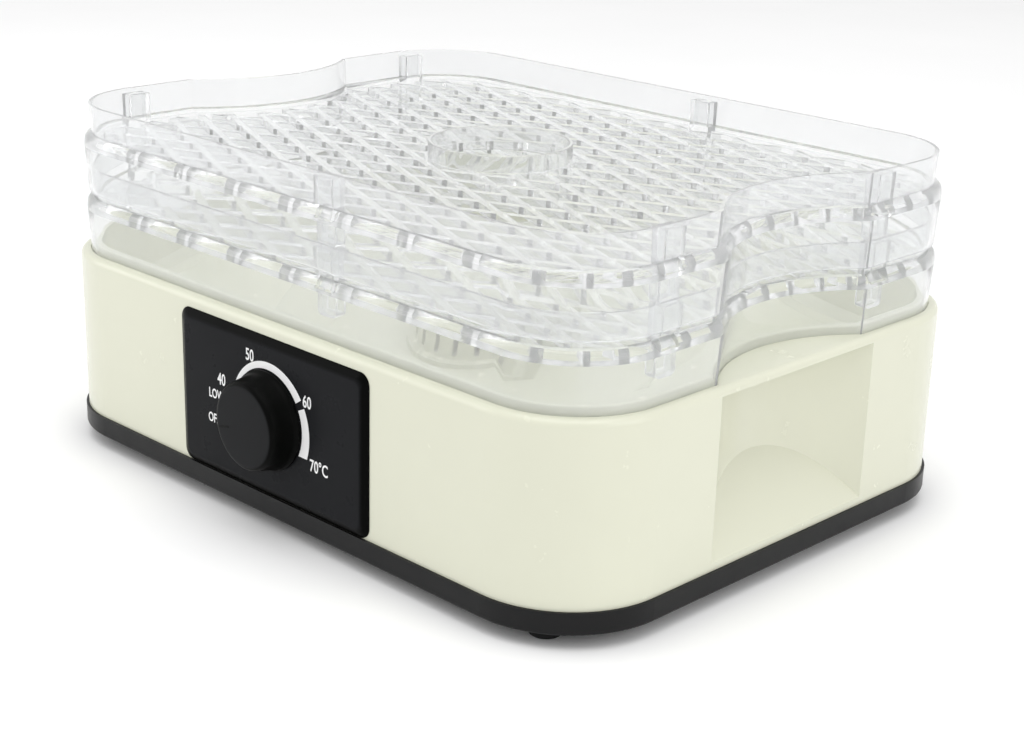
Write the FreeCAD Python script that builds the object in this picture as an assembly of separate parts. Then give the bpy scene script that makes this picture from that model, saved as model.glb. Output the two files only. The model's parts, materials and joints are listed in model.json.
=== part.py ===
import FreeCAD, Part
import math
import os

V = FreeCAD.Vector

# ---------------------------------------------------------------- driving dimensions (mm)
# Plan outline of the housing, the same rounded rectangle for every layer.
body_width = 330.0            # X
body_depth = 251.0            # Y
corner_r = 44.0

# Heights of the base, from the surface it stands on.
foot_h = 6.0
plate_rim_top = 15.2
ledge_z = 88.2                # flat ledge round the tray seat
groove_depth = 1.2
lip_h = 3.3                   # lip above the ledge
tub_floor_z = 50.5
tub_corner = 6.0              # where the tub's wall turns into its shelf
shelf_z = 62.0                # shelf round the dished middle of the tub
dish_inset = 25.5             # dish rim, from the housing's front and back
dish_slope_w = 22.0
shell_wall = 2.5
shell_edge_r = 2.8
plate_wall = 2.5
plate_proud = 1.2             # how far the black base plate stands out of the housing
plate_ring_w = 5.9
locating_h = 1.8
fit_gap = 0.2                 # between parts that slip into each other and never move
move_gap = 0.3                # between parts that lift or turn past each other

# Scalloped hand notch in both X sides of the trays, and of the lip that carries them.
notch_half = 44.0
notch_depth = 17.0

# Hand recess in both X sides of the housing, under the ledge.
recess_half = 48.0
recess_depth = 22.0
recess_foot_z = 18.5
recess_slope = 1.25           # rise of its sloping floor per mm of depth
recess_roof = 3.0
field_margin = 3.0              # straight wall kept with each corner and recess where the ring is divided

# Trays (heights from the tray's own lower edge).
tray_count_names = ("lower", "upper")
tray_pitch = 28.0
tray_h = 38.1
skirt_h = 20.5
shoulder_h = 4.7
floor_under = 19.3
floor_t = 3.6
tray_wall_t = 1.4
skirt_foot_off = -4.6         # outer face of the skirt's lower edge, from the housing outline
skirt_top_off = -3.5
wall_foot_off = -6.9
wall_top_off = -6.2
mesh_border = 3.0
mesh_pitch_x = 34.3
mesh_pitch_y = 15.2
mesh_rib = 3.4
mesh_min_hole = 8.0           # mm2, smaller clipped openings are left solid
collar_r = 31.0
collar_h = 10.7               # from the underside of the mesh
collar_t = 1.6
pillar_w = 11.0
pillar_in = 5.5
pillar_wall = 1.6
pillar_drop = 2.0             # pillar top below the tray's rim
pillar_slot_floor = 2.0
foot_round = 2.4
# Six pillars: the wall, and the place along it. In front and back it is a part of half the
# width, at the sides a part of the straight run between notch and corner, + to the back.
pillar_places = (("front", 0.145), ("back", 0.11), ("left", -0.96), ("left", 1.17),
                 ("right", -0.72), ("right", 0.37))

# Air turret, fan, heater and motor, all on the vertical axis.
turret_r = 38.0
turret_h = 30.0
turret_t = 2.0
turret_slots = 24
turret_slot_w = 2.4
turret_slot_h = 22.0
turret_flange_w = 3.0
turret_flange_t = 1.5
turret_edge_r = 2.5
fan_r = 30.0
fan_hub_r = 4.2
fan_blades = 10
fan_blade_h = 13.0
fan_blade_t = 1.2
fan_disc_t = 1.2
fan_gap = 5.5                 # fan disc above the tub floor
shaft_r = 1.5
running_gap = 0.05
duct_t = 0.8
duct_h = 15.0
heater_fins = 4
heater_fin_t = 1.0
heater_fin_h = 11.0
heater_hub_r = 8.0
heater_hub_t = 1.2
heater_turns = (16.0, 23.0, 30.0)
heater_wire_r = 0.9
stack_z = 15.0
stack_h = 12.0
stator_half_x = 28.0
stator_front = 20.0
stator_back = 42.0
rotor_r = 11.0
air_gap = 0.4
rotor_end_gap = 0.5
window_half_x = 19.0
window_front = 16.0
limb_front = 30.0
coil_half_x = 16.0
coil_wrap = 4.6
bridge_half_x = 26.0
bridge_half_y = 7.0
bridge_t = 1.5
bearing_r = 4.5
bearing_h = 5.0
post_r = 4.5
stator_bolt_x = 23.5
stator_bolt_y = -13.0
bolt_r = 1.6
bolt_head_r = 3.0
bolt_head_h = 2.2

# Base plate details.
foot_inset_x = 28.0
foot_inset_y = 17.5
foot_r = 6.5
foot_stem_r = 2.5
foot_stem_h = 4.0
intake_slots = 24
intake_r0 = 52.0
intake_r1 = 72.0
intake_w = 4.0
screw_inset_x = 47.0
screw_inset_y = 41.5
boss_r = 4.5
plate_boss_r = 7.0
plate_boss_h = 6.0
screw_head_r = 3.5
screw_head_h = 2.4
screw_shank_r = 1.3
screw_len = 16.0
counterbore_r = 4.0
screw_seat_z = 11.0

# Control panel, knob and thermostat on the front (-Y).
panel_w = 118.0
panel_h = 67.8
panel_t = 2.2
panel_corner_r = 5.0
panel_bevel = 1.7
panel_gap_z = 0.2
dial_z = 49.0
knob_r = 21.0
knob_front_r = 19.6
knob_h = 12.5
knob_edge_r = 2.2
knob_gap = 0.4
knob_shell = 2.2
knob_boss_r = 5.6
pointer_angle = 194.0         # degrees in the panel's plane, from +X towards +Z
pointer_r0 = 9.0
pointer_r1 = 16.0
pointer_w = 1.0
pointer_deep = 0.4
scale_r = 22.9
scale_start_w = 2.2
scale_end_w = 5.2
scale_spans = ((154.0, 34.0), (26.0, -27.0))
scale_t = 0.15
shaft_d_r = 3.0
shaft_len = 8.5
bush_r = 4.8
bush_len = 4.2
nut_flats = 13.0
nut_h = 2.4
stat_r = 14.0
stat_len = 17.0
stat_plate_t = 1.2
stat_plate_half_x = 16.0
stat_plate_half_z = 10.0
pocket_half_x = 20.0
pocket_len = 31.0
pocket_top = 68.5

# Rear cable gland.
gland_inset_x = 65.0
gland_z = 27.0
gland_bore_r = 3.4
gland_body_r = 6.0
gland_flange_r = 8.5
gland_flange_t = 2.2

# Small electrical parts.
block_inset_x = 73.0
block_inset_y = 55.5
block_l = 30.0
block_w = 13.0
block_h = 11.0
block_poles = 3
fuse_r = 1.8
fuse_len = 11.0
fuse_angle = 135.0
clip_t = 0.8
wire_r = 1.1
wire_bend = 8.0

# ---------------------------------------------------------------- values that follow from them
plate_top = foot_h + plate_wall
tub_under = tub_floor_z - shell_wall
shelf_under = shelf_z - shell_wall
dish_rim_r = body_depth / 2 - dish_inset
dish_floor_r = dish_rim_r - dish_slope_w
groove_z = ledge_z - groove_depth
lip_top = ledge_z + lip_h
groove_out_off = skirt_foot_off + 0.4
lip_off = skirt_foot_off - tray_wall_t - 0.7
tub_off = lip_off - shell_wall
tray_seat_z = groove_z + move_gap
floor_over = floor_under + floor_t
shoulder_top = skirt_h + shoulder_h
wall_in_off = wall_foot_off - tray_wall_t
pillar_top = tray_h - pillar_drop
pillar_foot = pillar_top - tray_pitch + move_gap
front_y = -body_depth / 2
panel_face_y = front_y - panel_t
knob_back_y = panel_face_y - knob_gap
knob_face_y = knob_back_y - knob_h
turret_in_r = turret_r - turret_t
duct_r = turret_r + 1.0
fan_z = tub_floor_z + fan_gap
stack_top = stack_z + stack_h
foot_x = body_width / 2 - foot_inset_x
foot_y = body_depth / 2 - foot_inset_y
screw_x = body_width / 2 - screw_inset_x
screw_y = body_depth / 2 - screw_inset_y
gland_x = body_width / 2 - gland_inset_x
block_x = body_width / 2 - block_inset_x
block_y = body_depth / 2 - block_inset_y
origin_y = (knob_face_y + body_depth / 2 + gland_flange_t) / 2


# ---------------------------------------------------------------- shape helpers
def box(x0, x1, y0, y1, z0, z1):
    return Part.makeBox(x1 - x0, y1 - y0, z1 - z0, V(x0, y0, z0))


def cyl(r, z0, z1, x=0.0, y=0.0):
    return Part.makeCylinder(r, z1 - z0, V(x, y, z0))


def cyl_y(r, y0, y1, x, z):
    return Part.makeCylinder(r, y1 - y0, V(x, y0, z), V(0, 1, 0))


def tube(r_out, r_in, z0, z1, x=0.0, y=0.0):
    return cyl(r_out, z0, z1, x, y).cut(cyl(r_in, z0, z1, x, y))


def polar(r, deg, z=0.0):
    return V(r * math.cos(math.radians(deg)), r * math.sin(math.radians(deg)), z)


def fused(shapes):
    return shapes[0].multiFuse(shapes[1:]).removeSplitter() if len(shapes) > 1 else shapes[0]


def side_span(off):
    """Half length of the notch's chord in an X side, on the outline moved out by off."""
    notch_r = (notch_half ** 2 + notch_depth ** 2) / (2 * notch_depth)
    centre_x = body_width / 2 - notch_depth + notch_r
    r = notch_r - off
    return centre_x, r, math.sqrt(r ** 2 - (centre_x - body_width / 2 - off) ** 2)


def outline(off, z, notched=False):
    """The plan outline moved out by off, as a closed wire of lines and arcs at height z."""
    hx = body_width / 2 + off
    hy = body_depth / 2 + off
    r = corner_r + off
    d = r * math.sqrt(0.5)
    edges = []

    def line(x0, y0, x1, y1):
        edges.append(Part.makeLine(V(x0, y0, z), V(x1, y1, z)))

    def arc(x0, y0, xm, ym, x1, y1):
        edges.append(Part.Arc(V(x0, y0, z), V(xm, ym, z), V(x1, y1, z)).toShape())

    def side(s):
        if not notched:
            line(s * hx, -s * (hy - r), s * hx, s * (hy - r))
            return
        centre_x, nr, half = side_span(off)
        line(s * hx, -s * (hy - r), s * hx, -s * half)
        arc(s * hx, -s * half, s * (centre_x - nr), 0.0, s * hx, s * half)
        line(s * hx, s * half, s * hx, s * (hy - r))

    for s in (1, -1):
        side(s)
        arc(s * hx, s * (hy - r), s * (hx - r + d), s * (hy - r + d), s * (hx - r), s * hy)
        line(s * (hx - r), s * hy, -s * (hx - r), s * hy)
        arc(-s * (hx - r), s * hy, -s * (hx - r + d), s * (hy - r + d), -s * hx, s * (hy - r))
    return Part.Wire(edges)


def slab(off, z0, z1, notched=False):
    return Part.Face(outline(off, z0, notched)).extrude(V(0, 0, z1 - z0))


def layered(stations, notched=True):
    """A solid through the outline at each (offset, height), straight in between."""
    return Part.makeLoft([outline(off, z, notched) for off, z in stations], True, True)


def prism_xz(points, y0, y1):
    wire = Part.makePolygon([V(x, y0, z) for x, z in points + points[:1]])
    return Part.Face(wire).extrude(V(0, y1 - y0, 0))


def rounded_plate(w, h, r, x, z0, y0, y1):
    """Upright plate, w by h, with its four corners rounded, between y0 and y1."""
    plate = box(x - w / 2, x + w / 2, y0, y1, z0, z0 + h)
    ends = [e for e in plate.Edges if abs(e.tangentAt(e.FirstParameter).y) > 0.99]
    return plate.makeFillet(r, ends)


def at_screws(shape_at):
    return [shape_at(sx * screw_x, sy * screw_y) for sx in (-1, 1) for sy in (-1, 1)]


# ---------------------------------------------------------------- base housing
def recess_side(grow):
    """One hand recess on the +X side, grown by a wall thickness all round."""
    half = recess_half + grow
    deep = recess_depth + grow
    x_out = body_width / 2
    far = x_out + 20.0
    wire = Part.Wire([Part.Arc(V(x_out, -half, 0), V(x_out - deep, 0, 0), V(x_out, half, 0)).toShape(),
                      Part.makeLine(V(x_out, half, 0), V(far, half, 0)),
                      Part.makeLine(V(far, half, 0), V(far, -half, 0)),
                      Part.makeLine(V(far, -half, 0), V(x_out, -half, 0))])
    plan = Part.Face(wire).extrude(V(0, 0, ledge_z))
    drop = grow * math.hypot(1.0, recess_slope)
    x_in = x_out - deep - 5.0
    z_out = recess_foot_z - drop - recess_slope * (far - x_out)
    z_in = recess_foot_z - drop + recess_slope * (x_out - x_in)
    top = ledge_z - recess_roof
    wedge = prism_xz([(far, z_out), (far, top), (x_in, top), (x_in, z_in)], -half, half)
    return plan.common(wedge)


def both_sides(shape):
    return [shape, shape.mirror(V(0, 0, 0), V(1, 0, 0))]


def dish(z, grow):
    """The sunk round middle of the tub: flat floor and sloping wall."""
    return Part.makeCone(dish_floor_r + grow, dish_rim_r + grow, shelf_z - tub_floor_z, V(0, 0, z))


def tub_wall(z0, z1):
    return slab(lip_off, z0, z1, True)


def stat_pocket_room():
    """Room behind the panel for the thermostat."""
    y0 = front_y + shell_wall
    half = pocket_half_x - shell_wall
    return box(-half, half, y0, y0 + pocket_len - shell_wall, plate_rim_top, pocket_top - shell_wall)


def housing_ring():
    """Outer wall, ledge, tray groove and lip, down to where the tub's floor begins."""
    outer = slab(0.0, plate_rim_top, ledge_z)
    top_edges = [e for e in outer.Edges if min(v.Z for v in e.Vertexes) > ledge_z - 0.01]
    outer = outer.makeFillet(shell_edge_r, top_edges)
    cavity = slab(-shell_wall, plate_rim_top - 1.0, ledge_z - recess_roof)
    inner = tub_wall(shelf_under, lip_top)
    lip_edges = [e for e in inner.Edges if min(v.Z for v in e.Vertexes) > lip_top - 0.01]
    inner = inner.makeFillet(shell_wall / 3, lip_edges)
    wall = fused([outer.cut(cavity), inner])
    groove = slab(groove_out_off, groove_z, ledge_z + 1.0, True).cut(tub_wall(groove_z - 1.0, ledge_z + 2.0))
    cuts = both_sides(recess_side(0.0)) + [stat_pocket_room(), groove]
    cuts.append(slab(tub_off, shelf_under - 1.0, lip_top + 1.0, True))
    cuts.append(cyl_y(bush_r + fit_gap, front_y - 1.0, front_y + shell_wall + 1.0, 0.0, dial_z))
    cuts.append(cyl_y(gland_body_r + 0.1, body_depth / 2 - shell_wall - 1.0, body_depth / 2 + 1.0,
                      gland_x, gland_z))
    for cut in cuts:
        wall = wall.cut(cut)
    return wall


def housing_stretches():
    """The ring in plain stretches: its sides at the recesses, and the front, back, corners and posts."""
    ring = housing_ring()
    top = lip_top + 1.0
    x_turn = body_width / 2 - corner_r - field_margin
    y_turn = body_depth / 2 - corner_r - field_margin
    y_post = recess_half + field_margin
    fields = [box(-x_turn, x_turn, -body_depth, 0, 0, top), box(-x_turn, x_turn, 0, body_depth, 0, top)]
    for y0, y1 in ((-body_depth, -y_turn), (-y_turn, -y_post), (y_post, y_turn), (y_turn, body_depth)):
        fields.append(box(x_turn, body_width, y0, y1, 0, top))
        fields.append(box(-body_width, -x_turn, y0, y1, 0, top))
    return {
        "housing_wall": Part.makeCompound([ring.common(field) for field in fields]),
        "housing_side_right": ring.common(box(x_turn, body_width, -y_post, y_post, 0, top)),
        "housing_side_left": ring.common(box(-body_width, -x_turn, -y_post, y_post, 0, top)),
    }


def hand_grips():
    """Shells of the two hand recesses, behind the outer wall and under the ledge."""
    shell = recess_side(shell_wall).common(slab(-shell_wall, plate_rim_top, ledge_z - recess_roof))
    shell = shell.cut(recess_side(0.0)).cut(tub_wall(shelf_under, lip_top))
    return both_sides(shell)


def tub_floor():
    """Shelf, dished middle, screw bosses and the thermostat's cover."""
    d = tub_corner
    space = layered([(tub_off - d, shelf_z), (tub_off - 0.3 * d, shelf_z + 0.3 * d),
                     (tub_off, shelf_z + d), (tub_off, lip_top + 1.0)])
    bosses = at_screws(lambda x, y: cyl(boss_r, plate_top + plate_boss_h + fit_gap, shelf_under + 1.0, x, y))
    floor = fused([slab(tub_off, shelf_under, shelf_z + d, True), dish(tub_under, shell_wall / 2)] + bosses)
    floor = floor.cut(space).cut(dish(tub_floor_z, 0.0))
    y0 = front_y + shell_wall
    pocket = box(-pocket_half_x, pocket_half_x, y0, y0 + pocket_len, tub_under, pocket_top)
    floor = fused([floor, pocket.common(slab(tub_off, tub_under, pocket_top, True))])
    cuts = [stat_pocket_room(), cyl(turret_in_r, tub_under - 1.0, tub_floor_z + 1.0)]
    cuts += at_screws(lambda x, y: cyl(screw_shank_r + 0.05, plate_top, screw_seat_z + screw_len, x, y))
    return floor.cut(Part.makeCompound(cuts))


def bottom_plate():
    plate = slab(plate_proud, foot_h, plate_rim_top)
    low = [e for e in plate.Edges if max(v.Z for v in e.Vertexes) < foot_h + 0.01]
    plate = plate.makeFillet(1.2, low)
    ring_in = plate_proud - plate_ring_w
    tongue_out = -shell_wall - fit_gap
    tongue = slab(tongue_out, plate_top, plate_rim_top + locating_h)
    plate = fused([plate, tongue]).cut(slab(ring_in, plate_top, plate_rim_top + locating_h + 1.0))
    posts = [cyl(post_r, plate_top, stack_z, s * stator_bolt_x, stator_bolt_y) for s in (-1, 1)]
    bosses = at_screws(lambda x, y: cyl(plate_boss_r, plate_top, plate_top + plate_boss_h, x, y))
    plate = fused([plate] + posts + bosses)
    cuts = at_screws(lambda x, y: cyl(counterbore_r, foot_h, screw_seat_z, x, y))
    cuts += at_screws(lambda x, y: cyl(screw_shank_r + fit_gap, foot_h, plate_rim_top, x, y))
    cuts += [cyl(foot_stem_r + 0.05, foot_h - 1.0, plate_top + 1.0, sx * foot_x, sy * foot_y)
             for sx in (-1, 1) for sy in (-1, 1)]
    cuts += [cyl(bolt_r - 0.3, plate_top, stack_z, s * stator_bolt_x, stator_bolt_y) for s in (-1, 1)]
    for i in range(intake_slots):
        slot = box(intake_r0, intake_r1, -intake_w / 2, intake_w / 2, foot_h - 1.0, plate_top + 1.0)
        slot.rotate(V(0, 0, 0), V(0, 0, 1), 360.0 * (i + 0.5) / intake_slots)
        cuts.append(slot)
    return plate.cut(Part.makeCompound(cuts))


def rubber_feet():
    feet = []
    for sx in (-1, 1):
        for sy in (-1, 1):
            pad = cyl(foot_r, 0.0, foot_h, sx * foot_x, sy * foot_y)
            low = [e for e in pad.Edges if abs(e.BoundBox.ZMax) < 0.01]
            pad = pad.makeFillet(1.0, low)
            feet.append(pad.fuse(cyl(foot_stem_r, foot_h, foot_h + foot_stem_h, sx * foot_x, sy * foot_y)))
    return Part.makeCompound(feet)


def housing_screws():
    def screw(x, y):
        head = cyl(screw_head_r, screw_seat_z - screw_head_h, screw_seat_z, x, y)
        slot = box(x - screw_head_r, x + screw_head_r, y - 0.5, y + 0.5,
                   screw_seat_z - screw_head_h - 1.0, screw_seat_z - screw_head_h + 1.0)
        cross = box(x - 0.5, x + 0.5, y - screw_head_r * 0.6, y + screw_head_r * 0.6,
                    screw_seat_z - screw_head_h - 1.0, screw_seat_z - screw_head_h + 1.0)
        slot = slot.common(box(x - screw_head_r * 0.6, x + screw_head_r * 0.6, y - 1, y + 1, 0, ledge_z))
        return head.fuse(cyl(screw_shank_r, screw_seat_z, screw_seat_z + screw_len - 1.0, x, y)).cut(
            Part.makeCompound([slot, cross]))
    return Part.makeCompound(at_screws(screw))


def air_turret():
    top = tub_floor_z + turret_h
    body = cyl(turret_r, tub_floor_z, top)
    body = body.makeFillet(turret_edge_r, [e for e in body.Edges if abs(e.BoundBox.ZMin - top) < 0.01])
    flange = cyl(turret_r + turret_flange_w, tub_floor_z, tub_floor_z + turret_flange_t)
    spigot = cyl(turret_in_r - fit_gap, tub_under + 0.5, tub_floor_z)
    body = fused([body, flange, spigot])
    body = body.cut(cyl(turret_in_r - fit_gap - turret_t, tub_under, top - turret_t))
    slots = []
    z0 = tub_floor_z + turret_flange_t + 1.0
    for i in range(turret_slots):
        slot = box(turret_in_r - 2 * turret_t, turret_r + 1.0, -turret_slot_w / 2, turret_slot_w / 2,
                   z0, z0 + turret_slot_h)
        slot.rotate(V(0, 0, 0), V(0, 0, 1), 360.0 * i / turret_slots)
        slots.append(slot)
    return body.cut(Part.makeCompound(slots))


# ---------------------------------------------------------------- control panel and knob
def control_panel():
    plate = rounded_plate(panel_w, panel_h, panel_corner_r, 0.0, plate_rim_top + panel_gap_z,
                          panel_face_y, front_y)
    rim = [e for e in plate.Edges if e.BoundBox.YMax < panel_face_y + 0.01]
    plate = plate.makeChamfer(panel_bevel, rim)
    return plate.cut(cyl_y(bush_r + fit_gap, panel_face_y - 1.0, front_y + 1.0, 0.0, dial_z))


def panel_scale():
    """Two printed arcs round the dial, growing wider from the first to the last."""
    first = scale_spans[0][0]
    last = scale_spans[-1][1]

    def rim_point(deg, outer):
        r = scale_r
        if outer:
            r += scale_start_w + (scale_end_w - scale_start_w) * (first - deg) / (first - last)
        return polar(r, deg)

    def lifted(p):
        return V(p.x, panel_face_y, dial_z + p.y)

    arcs = []
    for a0, a1 in scale_spans:
        mid = (a0 + a1) / 2
        inner = [lifted(rim_point(a, False)) for a in (a0, mid, a1)]
        outer = [lifted(rim_point(a, True)) for a in (a0, mid, a1)]
        wire = Part.Wire([Part.Arc(*inner).toShape(), Part.makeLine(inner[2], outer[2]),
                          Part.Arc(*reversed(outer)).toShape(), Part.makeLine(outer[0], inner[0])])
        arcs.append(Part.Face(wire).extrude(V(0, -scale_t, 0)))
    return Part.makeCompound(arcs)


def on_dial(shape):
    """Stand a shape that was made on the Z axis on the dial's axis, its +Z towards the front."""
    shape.rotate(V(0, 0, 0), V(1, 0, 0), 90)
    shape.translate(V(0, knob_back_y, dial_z))
    return shape


def pointer_bar(length_from, length_to, z0, z1):
    bar = box(length_from, length_to, -pointer_w / 2, pointer_w / 2, z0, z1)
    bar.rotate(V(0, 0, 0), V(0, 0, 1), pointer_angle)
    return bar


def control_knob():
    cone = Part.makeCone(knob_r, knob_front_r, knob_h)
    cone = cone.makeFillet(knob_edge_r, [e for e in cone.Edges if e.BoundBox.ZMin > knob_h - 0.01])
    inner = Part.makeCone(knob_r - knob_shell, knob_front_r - knob_shell, knob_h - knob_shell)
    knob = cone.cut(inner).fuse(cyl(knob_boss_r, bush_len - knob_gap + 1.5, knob_h - knob_shell + 0.5))
    knob = knob.cut(cyl(shaft_d_r, 0.0, shaft_top_z()))
    return on_dial(knob.cut(pointer_bar(pointer_r0, pointer_r1, knob_h - pointer_deep, knob_h + 1.0)))


def shaft_top_z():
    return knob_h - knob_shell


def knob_pointer():
    return on_dial(pointer_bar(pointer_r0, pointer_r1, knob_h - pointer_deep, knob_h - pointer_deep / 2))


def stat_front():
    """Z, on the dial's axis, of the thermostat's mounting plate against the housing's inside."""
    return knob_back_y - front_y - shell_wall


def thermostat_shaft():
    return on_dial(cyl(shaft_d_r, stat_front() - 2.0, shaft_top_z()))


def thermostat_body():
    z1 = stat_front() - stat_plate_t
    body = cyl(stat_r, z1 - stat_len, z1).cut(cyl(shaft_d_r + running_gap, z1 - 3.0, z1))
    tabs = [box(x - 2.4, x + 2.4, -0.4, 0.4, z1 - stat_len - 6.0, z1 - stat_len) for x in (-7.0, 7.0)]
    return on_dial(fused([body] + tabs))


def thermostat_plate():
    z1 = stat_front()
    plate = box(-stat_plate_half_x, stat_plate_half_x, -stat_plate_half_z, stat_plate_half_z,
                z1 - stat_plate_t, z1)
    bush = cyl(bush_r, z1 - stat_plate_t, z1 + shell_wall + panel_t + bush_len)
    return on_dial(plate.fuse(bush).cut(cyl(shaft_d_r + running_gap, z1 - stat_plate_t, knob_h)))


def thermostat_nut():
    wire = Part.makePolygon([polar(nut_flats / math.sqrt(3), 60 * i, 0.0) for i in range(7)])
    face_z = knob_back_y - panel_face_y
    nut = Part.Face(wire).extrude(V(0, 0, nut_h)).cut(cyl(bush_r, 0.0, nut_h))
    nut.translate(V(0, 0, face_z))
    return on_dial(nut)


# ---------------------------------------------------------------- trays
def wall_place(shape, wall, place):
    """Move a shape made at the front wall (its outline at y = 0, inwards +Y) to its wall."""
    along = place * body_width / 2
    if wall in ("left", "right"):
        run = body_depth / 2 - corner_r - notch_half
        along = math.copysign(notch_half + abs(place) * run, place)
    turn = {"front": 0, "right": 90, "back": 180, "left": 270}[wall]
    reach = body_depth / 2 if wall in ("front", "back") else body_width / 2
    shift = {"front": along, "back": -along, "right": along, "left": -along}[wall]
    shape.translate(V(shift, -reach, 0))
    shape.rotate(V(0, 0, 0), V(0, 0, 1), turn)
    return shape


def pillar_post():
    """Channel post on the tray's inside, made at the front wall."""
    y0 = -wall_in_off
    y1 = y0 + pillar_in
    half = pillar_w / 2
    post = box(-half, half, y0 - tray_wall_t / 2, y1, floor_under, pillar_top)
    post = post.cut(box(-half + pillar_wall, half - pillar_wall, y0 + pillar_wall / 2, y1 - pillar_wall,
                        floor_over + pillar_slot_floor, pillar_top + 1.0))
    return post


def pillar_leg():
    """Leg below the mesh that stands on the post of the tray below, made at the front wall."""
    y0 = -wall_in_off
    y1 = y0 + pillar_in
    half = pillar_w / 2
    leg = rounded_plate(pillar_w, floor_under - pillar_foot + 2 * foot_round, foot_round, 0.0,
                        pillar_foot, y0 + pillar_wall / 2, y1)
    leg = leg.common(box(-half, half, 0.0, 2 * y1, pillar_foot - 1.0, floor_under))
    return leg.cut(box(-half + pillar_wall, half - pillar_wall, y0 + 1.5 * pillar_wall, y1 + 1.0,
                       pillar_foot + pillar_wall, floor_under))


def pillar_space():
    y0 = -wall_in_off
    return box(-pillar_w / 2, pillar_w / 2, y0 - tray_wall_t / 2, y0 + pillar_in,
               floor_under - 1.0, floor_over + 1.0)


def tray_wall():
    envelope = layered([(skirt_foot_off, 0.0), (skirt_top_off, skirt_h),
                        (skirt_top_off - 0.5, skirt_h + 0.6 * shoulder_h),
                        (skirt_top_off - 1.7, skirt_h + 0.9 * shoulder_h),
                        (wall_foot_off, shoulder_top), (wall_top_off, tray_h)])
    below = layered([(skirt_foot_off - tray_wall_t - 0.06, -1.0), (skirt_top_off - tray_wall_t, floor_under)])
    above = layered([(wall_in_off, floor_over), (wall_top_off - tray_wall_t, tray_h + 1.0)])
    window = slab(wall_in_off, floor_under - 1.0, floor_over + 1.0, True)
    wall = envelope.cut(below).cut(above).cut(window)
    post_room = slab(wall_in_off + tray_wall_t / 2, 0.0, tray_h, True)
    leg_room = slab(wall_in_off - pillar_wall / 2, 0.0, tray_h, True)
    pieces = [wall]
    for side, place in pillar_places:
        pieces.append(wall_place(pillar_post(), side, place).common(post_room))
        pieces.append(wall_place(pillar_leg(), side, place).common(leg_room))
    return fused(pieces)


def mesh_openings():
    """Diamond openings of the mesh, clipped to its border and to the collar."""
    half_x = mesh_pitch_x / 2
    half_y = mesh_pitch_y / 2
    rib_angle = math.atan2(half_y, half_x)
    a = half_x - mesh_rib / 2 / math.sin(rib_angle)
    b = half_y - mesh_rib / 2 / math.cos(rib_angle)
    field = Part.Face(outline(wall_in_off - mesh_border, 0.0, True))
    hub = Part.Face(Part.Wire(Part.makeCircle(collar_r + mesh_border / 2)))
    field = field.cut(hub)
    columns = int(body_width / mesh_pitch_x) + 2
    rows = int(body_depth / mesh_pitch_y) + 2
    cells = []
    for i in range(-columns, columns + 1):
        for j in range(-rows, rows + 1):
            if (i + j) % 2:
                continue
            x, y = i * half_x, j * half_y
            if abs(x) - a > body_width / 2 or abs(y) - b > body_depth / 2:
                continue
            corners = [V(x - a, y, 0), V(x, y - b, 0), V(x + a, y, 0), V(x, y + b, 0), V(x - a, y, 0)]
            cells.append(Part.Face(Part.makePolygon(corners)))
    clipped = Part.makeCompound(cells).common(field)
    return [f for f in clipped.Faces if f.Area > mesh_min_hole]


def tray_mesh():
    holes = [f.OuterWire for f in mesh_openings()]
    hub = Part.Wire(Part.makeCircle(collar_r))
    face = Part.makeFace([outline(wall_in_off, 0.0, True), hub] + holes, "Part::FaceMakerBullseye")
    mesh = face.extrude(V(0, 0, floor_t))
    mesh.translate(V(0, 0, floor_under))
    spaces = [wall_place(pillar_space(), side, place) for side, place in pillar_places]
    mesh = mesh.cut(Part.makeCompound(spaces))
    return Part.makeCompound([mesh.common(field) for field in mesh_fields()])


def mesh_fields():
    """The four plain fields of the mesh: before, behind, left and right of the collar."""
    x, y, z = body_width, body_depth, tray_h
    a = collar_r * math.sqrt(0.5)
    return [box(-x, x, -y, -a, 0, z), box(-x, x, a, y, 0, z),
            box(-x, 0, -a, a, 0, z), box(0, x, -a, a, 0, z)]


def tray_collar():
    collar = tube(collar_r, collar_r - collar_t, floor_under, floor_under + collar_h)
    top = [e for e in collar.Edges if e.BoundBox.ZMin > floor_under + collar_h - 0.01]
    return collar.makeFillet(collar_t / 4, top)


# ---------------------------------------------------------------- fan, motor and heater
def fan_impeller():
    disc = tube(fan_r, shaft_r, fan_z, fan_z + fan_disc_t)
    hub = tube(fan_hub_r, shaft_r, fan_z - 1.0, fan_z + fan_blade_h)
    blades = []
    sweep_r = fan_r * 0.55
    for i in range(fan_blades):
        centre = V(fan_hub_r + 1.0 + sweep_r, 0, 0)
        ring = tube(sweep_r + fan_blade_t / 2, sweep_r - fan_blade_t / 2, fan_z, fan_z + fan_blade_h,
                    fan_r * 0.62, -sweep_r * 0.86)
        sector = box(fan_hub_r + 4.0, fan_r, -sweep_r * 0.5, sweep_r * 0.6, fan_z, fan_z + fan_blade_h)
        blade = ring.common(sector).common(cyl(fan_r - 0.3, fan_z, fan_z + fan_blade_h))
        blade.rotate(V(0, 0, 0), V(0, 0, 1), 360.0 * i / fan_blades)
        blades.append(blade)
    return fused([disc, hub] + blades)


def motor_shaft():
    return cyl(shaft_r, stack_z - bearing_h - 1.0, fan_z + fan_blade_h + 2.0)


def motor_rotor():
    return tube(rotor_r, shaft_r, stack_z + rotor_end_gap, stack_top - rotor_end_gap)


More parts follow.
